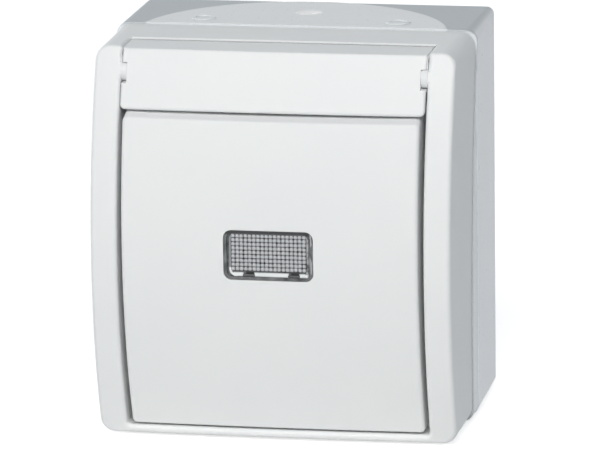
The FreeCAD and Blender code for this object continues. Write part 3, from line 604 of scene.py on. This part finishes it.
def edgePlastic():
    mat, tree, shader, place = startMaterial("rolledEdge")
    x = axes(tree, place)[0]
    cloud = noiseOn(tree, place, lensEdge["cloudSize"], 2.0)
    body = blendColours(tree, cloud, lensEdge["dark"], lensEdge["light"])
    # painted highlight along the left side, and painted highlights in patches on the right
    body = blendColours(tree, before(tree, x, *lensEdge["leftRun"]), body, lensEdge["leftHighlight"])
    patches = sums(tree, "MULTIPLY", past(tree, x, *lensEdge["rightRun"]),
                   past(tree, cloud, *lensEdge["patches"]))
    body = blendColours(tree, patches, body, lensEdge["rightHighlight"])
    corner = reachFrom(tree, place, lensEdge["brightPlace"], (1.0, 0.0, 1.0))
    bright = before(tree, corner, *lensEdge["brightReach"])
    paint(tree, shader, blendColours(tree, bright, body, lensEdge["brightColour"]))
    roughen(tree, shader, cloud, *lensEdge["rough"])
    shader.inputs["IOR"].default_value = clearLook["ior"]
    return mat


def makeLensEdge():
    x0, x1, y0, y1 = (v * mm for v in lensEdge["box"])
    top = trayFloor + lensEdge["rise"]
    middle = Vector(((x0 + x1) / 2, (y0 + y1) / 2, top))

    def alongTop(a, b):     # edges that run round the ring, not those that cross it
        outward = abs((a - middle).length - (b - middle).length)
        return min(a.z, b.z) > top - tiny and outward <= 0.6 * (a - b).length

    piece = flatBox("lensEdge", x0, x1, y0, y1, trayFloor, top)
    pickEdges(piece, upright)
    roundOff(lensEdge["corner"], lensEdge["cornerSteps"])
    bore(piece, lambda c, n: abs(n.z) > 0.9, lensEdge["wide"])
    pickEdges(piece, alongTop)
    roundOff(lensEdge["round"], lensEdge["roundSteps"])
    standInRocker(piece, edgePlastic())


lensLip = {                                  # lower lip of whitish clear plastic, painted near white as a highlight where it catches the light, with a gap for each catch
    "left": -7.2 * mm,
    "right": 8.1 * mm,
    "middle": -4.1 * mm,
    "wide": 0.86 * mm,
    "rise": 0.5 * mm,
    "round": 0.26 * mm,
    "roundSteps": 4,
    "gaps": ((-5.15, -2.95), (4.1, 6.25)),   # mm along the lip
    "cloudSize": 200.0,
    "colour": linear(247, 248, 249),
    "shade": linear(236, 238, 240),
    "rough": (0.08, 0.16),
}


def lipPlastic():
    mat, tree, shader, place = startMaterial("lensLipHighlight")
    cloud = noiseOn(tree, place, lensLip["cloudSize"], 2.0)
    # the lip's near white colour is a painted highlight
    paint(tree, shader, blendColours(tree, cloud, lensLip["colour"], lensLip["shade"]))
    roughen(tree, shader, cloud, *lensLip["rough"])
    shader.inputs["IOR"].default_value = clearLook["ior"]
    return mat


def makeLensLip():
    low, top = lensLip["middle"] - lensLip["wide"] / 2, trayFloor + lensLip["rise"]
    ends = [lensLip["left"], *(v * mm for gap in lensLip["gaps"] for v in gap), lensLip["right"]]
    bars = []
    for x0, x1 in zip(ends[::2], ends[1::2]):
        bar = flatBox("lipBar", x0, x1, low, low + lensLip["wide"], trayFloor, top)
        pickEdges(bar, lambda a, b: min(a.z, b.z) > top - tiny)
        roundOff(lensLip["round"], lensLip["roundSteps"])
        leaveEdit()
        bars.append(bar)
    standInRocker(joined(bars, "lensLip"), lipPlastic())


lensClip = {                                 # two dark catches in the gaps of the lip
    "insets": (0.5 * mm, 0.14 * mm),         # from the left and right end of a gap
    "high": 0.98 * mm,
    "rise": 0.3 * mm,
    "hollow": ((0.12, 0.0), (0.06, -0.16)),
    "cloudSize": 900.0,
    "colour": linear(14, 14, 15),
    "shade": linear(36, 37, 38),
    "rough": (0.45, 0.6),
}


def catchPlastic():
    mat, tree, shader, place = startMaterial("catchPlastic")
    cloud = noiseOn(tree, place, lensClip["cloudSize"], 2.0)
    paint(tree, shader, blendColours(tree, cloud, lensClip["colour"], lensClip["shade"]))
    roughen(tree, shader, cloud, *lensClip["rough"])
    return mat


def makeLensClips():
    low = lensLip["middle"] - lensClip["high"] / 2
    left, right = lensClip["insets"]
    bars = []
    for x0, x1 in lensLip["gaps"]:
        bar = flatBox("clip", x0 * mm + left, x1 * mm - right, low, low + lensClip["high"],
                      trayFloor, trayFloor + lensClip["rise"])
        pickFaces(bar, upward)
        stepFaces(lensClip["hollow"])
        leaveEdit()
        bars.append(bar)
    standInRocker(joined(bars, "lensClips"), catchPlastic())


def makeWindow():
    windowFrame = makeWindowFrame()
    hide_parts("window_lens")
    makeLensField()
    makeLensEdge()
    makeLensLip()
    makeLensClips()
    print("pilot window made")


# trim round the flap

hinge = {
    "y": -49.583 * mm,                       # the pin
    "z": 35.1 * mm,
    "wellHalfWidth": 31.35 * mm,
    "flapHalfWidth": 31.1 * mm,
}

collar = {                                   # round each knuckle, bored for the flap's pin
    "sides": 48,
    "radius": 1.96 * mm,
    "long": 1.33 * mm,
    "round": 0.1 * mm,
    "roundSteps": 3,
    "wall": 0.74 * mm,
}


def makeCollars():
    bars = []
    for side in (-1, 1):
        freshStart()
        middle = side * (hinge["wellHalfWidth"] - collar["long"] / 2)
        free = side * (hinge["wellHalfWidth"] - collar["long"])
        bpy.ops.mesh.primitive_cylinder_add(vertices=collar["sides"], radius=collar["radius"],
                                            depth=collar["long"], rotation=(0, math.pi / 2, 0),
                                            location=(middle, hinge["y"], hinge["z"]))
        bar = bpy.context.object
        bpy.ops.object.transform_apply(location=True, rotation=True, scale=True)
        pickEdges(bar, lambda a, b: max(abs(a.x - free), abs(b.x - free)) < tiny)
        roundOff(collar["round"], collar["roundSteps"])
        bore(bar, lambda c, n: abs(n.x) > 0.99, collar["wall"])
        bars.append(bar)
    settle(joined(bars, "hingeCollars"), finishOf("cover"), "housing")


shelf = {                                    # closes the notch under each knuckle, and swings with the flap
    "box": (-1.0, 0.9, -2.55, -2.02),        # y and z from the pin, mm
    "lap": 0.1 * mm,                         # past the free end of the collar
    "foot": ((0.1, 0.15),),
}


def makeShelves():
    y0, y1, z0, z1 = (v * mm for v in shelf["box"])
    inner = hinge["wellHalfWidth"] - collar["long"] - shelf["lap"]
    bars = []
    for side in (-1, 1):
        ends = sorted((side * inner, side * hinge["flapHalfWidth"]))
        bar = flatBox("shelf", *ends, hinge["y"] + y0, hinge["y"] + y1, hinge["z"] + z0, hinge["z"] + z1)
        pickFaces(bar, lambda c, n: n.z < -0.9)
        stepFaces(shelf["foot"])
        leaveEdit()
        bars.append(bar)
    settle(joined(bars, "flapShelves"), finishOf("label_flap"), "flap")


liner = {                                    # narrows the flap's side gaps, on the walls of the well
    "thick": 0.2 * mm,
    "turn": -21.16,                          # degrees, along the dome
    "place": (-51.27 * mm, 33.55 * mm),
    "deep": 1.25 * mm,
    "span": (3.6, 5.7),                      # mm along the dome, above the pin
    "top": (-50.9, -40.9, 38.4, 39.65),      # y and z, mm
    "round": 0.06 * mm,
    "roundSteps": 2,
}


def makeLiners():
    deep, (low, high) = liner["deep"], liner["span"]
    y0, y1, z0, z1 = (v * mm for v in liner["top"])
    bars = []
    for side in (-1, 1):
        ends = sorted((side * (hinge["wellHalfWidth"] - liner["thick"]), side * hinge["wellHalfWidth"]))
        bar = flatBox("frontLiner", *ends, -deep / 2, deep / 2, low * mm, high * mm)
        bar.rotation_euler = (math.radians(liner["turn"]), 0.0, 0.0)
        bar.location = (0.0, *liner["place"])
        bpy.ops.object.transform_apply(location=True, rotation=True, scale=True)
        bars += [bar, flatBox("topLiner", *ends, y0, y1, z0, z1)]
    piece = joined(bars, "gapLiners")
    soft = piece.modifiers.new("soft", "BEVEL")
    soft.width = liner["round"]
    soft.segments = liner["roundSteps"]
    bpy.ops.object.modifier_apply(modifier="soft")
    settle(piece, finishOf("cover"), "housing")


def makeFlapTrim():
    makeCollars()
    makeShelves()
    makeLiners()
    print("trim round the flap made")


# floor, light and camera

studio = {
    "floorHalf": 6.0,
    "floorGap": 0.02 * mm,      # so that the floor and the foot of the case don't flicker together
    "floorColour": linear(228, 228, 228),
    "floorRough": 0.9,
    "floorGlow": 0.68,          # what the camera and the gloss see on top of the lit floor
    "skyColour": (0.68, 0.84, 1.0, 1.0),
    "skyStrength": 0.153,
}


def seenDirectly(tree):     # by the camera, or in gloss and glass
    path = tree.nodes.new("ShaderNodeLightPath")
    mirrored = sums(tree, "MAXIMUM", path.outputs["Is Glossy Ray"], path.outputs["Is Transmission Ray"])
    return sums(tree, "MAXIMUM", path.outputs["Is Camera Ray"], mirrored)


def makeFloor():
    freshStart()
    level = cadBox[0].z - studio["floorGap"]
    bpy.ops.mesh.primitive_plane_add(size=2 * studio["floorHalf"], location=(0, 0, level))
    floor = bpy.context.object
    floor.name = "floor"
    mat, tree, shader, _ = startMaterial("floorPaint")
    shader.inputs["Base Color"].default_value = studio["floorColour"]
    shader.inputs["Roughness"].default_value = studio["floorRough"]
    glow = tree.nodes.new("ShaderNodeEmission")
    tree.links.new(sums(tree, "MULTIPLY", seenDirectly(tree), studio["floorGlow"]), glow.inputs["Strength"])
    both = tree.nodes.new("ShaderNodeAddShader")
    tree.links.new(shader.outputs[0], both.inputs[0])
    tree.links.new(glow.outputs[0], both.inputs[1])
    tree.links.new(both.outputs[0], tree.nodes["Material Output"].inputs["Surface"])
    floor.data.materials.append(mat)
    print("floor made")


def makeWorld():
    world = bpy.data.worlds.new("softBox")
    bpy.context.scene.world = world
    world.use_nodes = True
    tree = world.node_tree
    sky = tree.nodes["Background"]
    sky.inputs["Color"].default_value = studio["skyColour"]
    sky.inputs["Strength"].default_value = studio["skyStrength"]
    seen = tree.nodes.new("ShaderNodeBackground")
    seen.inputs["Color"].default_value = (1, 1, 1, 1)
    pick = tree.nodes.new("ShaderNodeMixShader")
    tree.links.new(seenDirectly(tree), pick.inputs[0])
    tree.links.new(sky.outputs[0], pick.inputs[1])
    tree.links.new(seen.outputs[0], pick.inputs[2])
    tree.links.new(pick.outputs[0], tree.nodes["World Output"].inputs["Surface"])
    print("sky made")


warm = (1.0, 0.985, 0.955)

lights = {                      # metres and watts, each turned to the middle of the wall face
    "keyLight": {"place": (0.25, -1.93, 1.6), "size": 1.3, "power": 35.5, "colour": warm},
    "leftFill": {"place": (-1.3, -1.9, 1.1), "size": 1.3, "power": 7.5, "colour": warm},
    "lowFill": {"place": (0.4, -2.4, 0.45), "size": 1.3, "power": 2.5, "colour": warm},
    "sideFill": {"place": (0.75, 0.45, 0.1), "size": 0.4, "power": 0.1, "colour": (0.83, 0.89, 1.0)},
    "backFill": {"place": (-1.6, 1.2, 0.3), "size": 0.9, "power": 12.0, "colour": (0.95, 0.975, 1.0)},
}


def makeLights():
    for name, look in lights.items():
        data = bpy.data.lights.new(name, "AREA")
        data.shape = "DISK"
        data.size = look["size"]
        data.energy = look["power"]
        data.color = look["colour"]
        lamp = bpy.data.objects.new(name, data)
        bpy.context.scene.collection.objects.link(lamp)
        lamp.location = look["place"]
        lamp.rotation_euler = (-Vector(look["place"])).to_track_quat("-Z", "Y").to_euler()
    print("lights placed")


cameraView = {
    "place": (0.22282, -1.19194, 0.27503),
    "yaw": 10.806,       # degrees, turned to the left
    "pitch": 13.109,     # degrees, tipped down
    "roll": -0.716,
    "frameWidth": 36.0,  # mm
    "lens": 354.7,       # mm
    "farthest": 50.0,    # metres
}


def makeCamera():
    data = bpy.data.cameras.new("photoCamera")
    data.sensor_width = cameraView["frameWidth"]
    data.lens = cameraView["lens"]
    data.clip_end = cameraView["farthest"]
    camera = bpy.data.objects.new("photoCamera", data)
    bpy.context.scene.collection.objects.link(camera)
    yaw, pitch, roll = (math.radians(cameraView[k]) for k in ("yaw", "pitch", "roll"))
    ahead = Vector((-math.sin(yaw) * math.cos(pitch), math.cos(yaw) * math.cos(pitch), -math.sin(pitch)))
    right = Vector((math.cos(yaw), math.sin(yaw), 0.0))
    up = right.cross(ahead)
    right, up = right * math.cos(roll) + up * math.sin(roll), up * math.cos(roll) - right * math.sin(roll)
    turn = Matrix((right, up, -ahead)).transposed().to_4x4()
    camera.matrix_world = Matrix.Translation(cameraView["place"]) @ turn
    bpy.context.scene.camera = camera
    print("camera placed")


finishNodes()
makeWindow()
makeFlapTrim()
makeFloor()
makeWorld()
makeLights()
makeCamera()
bpy.context.scene.view_settings.view_transform = "Standard"

print("all pieces made")
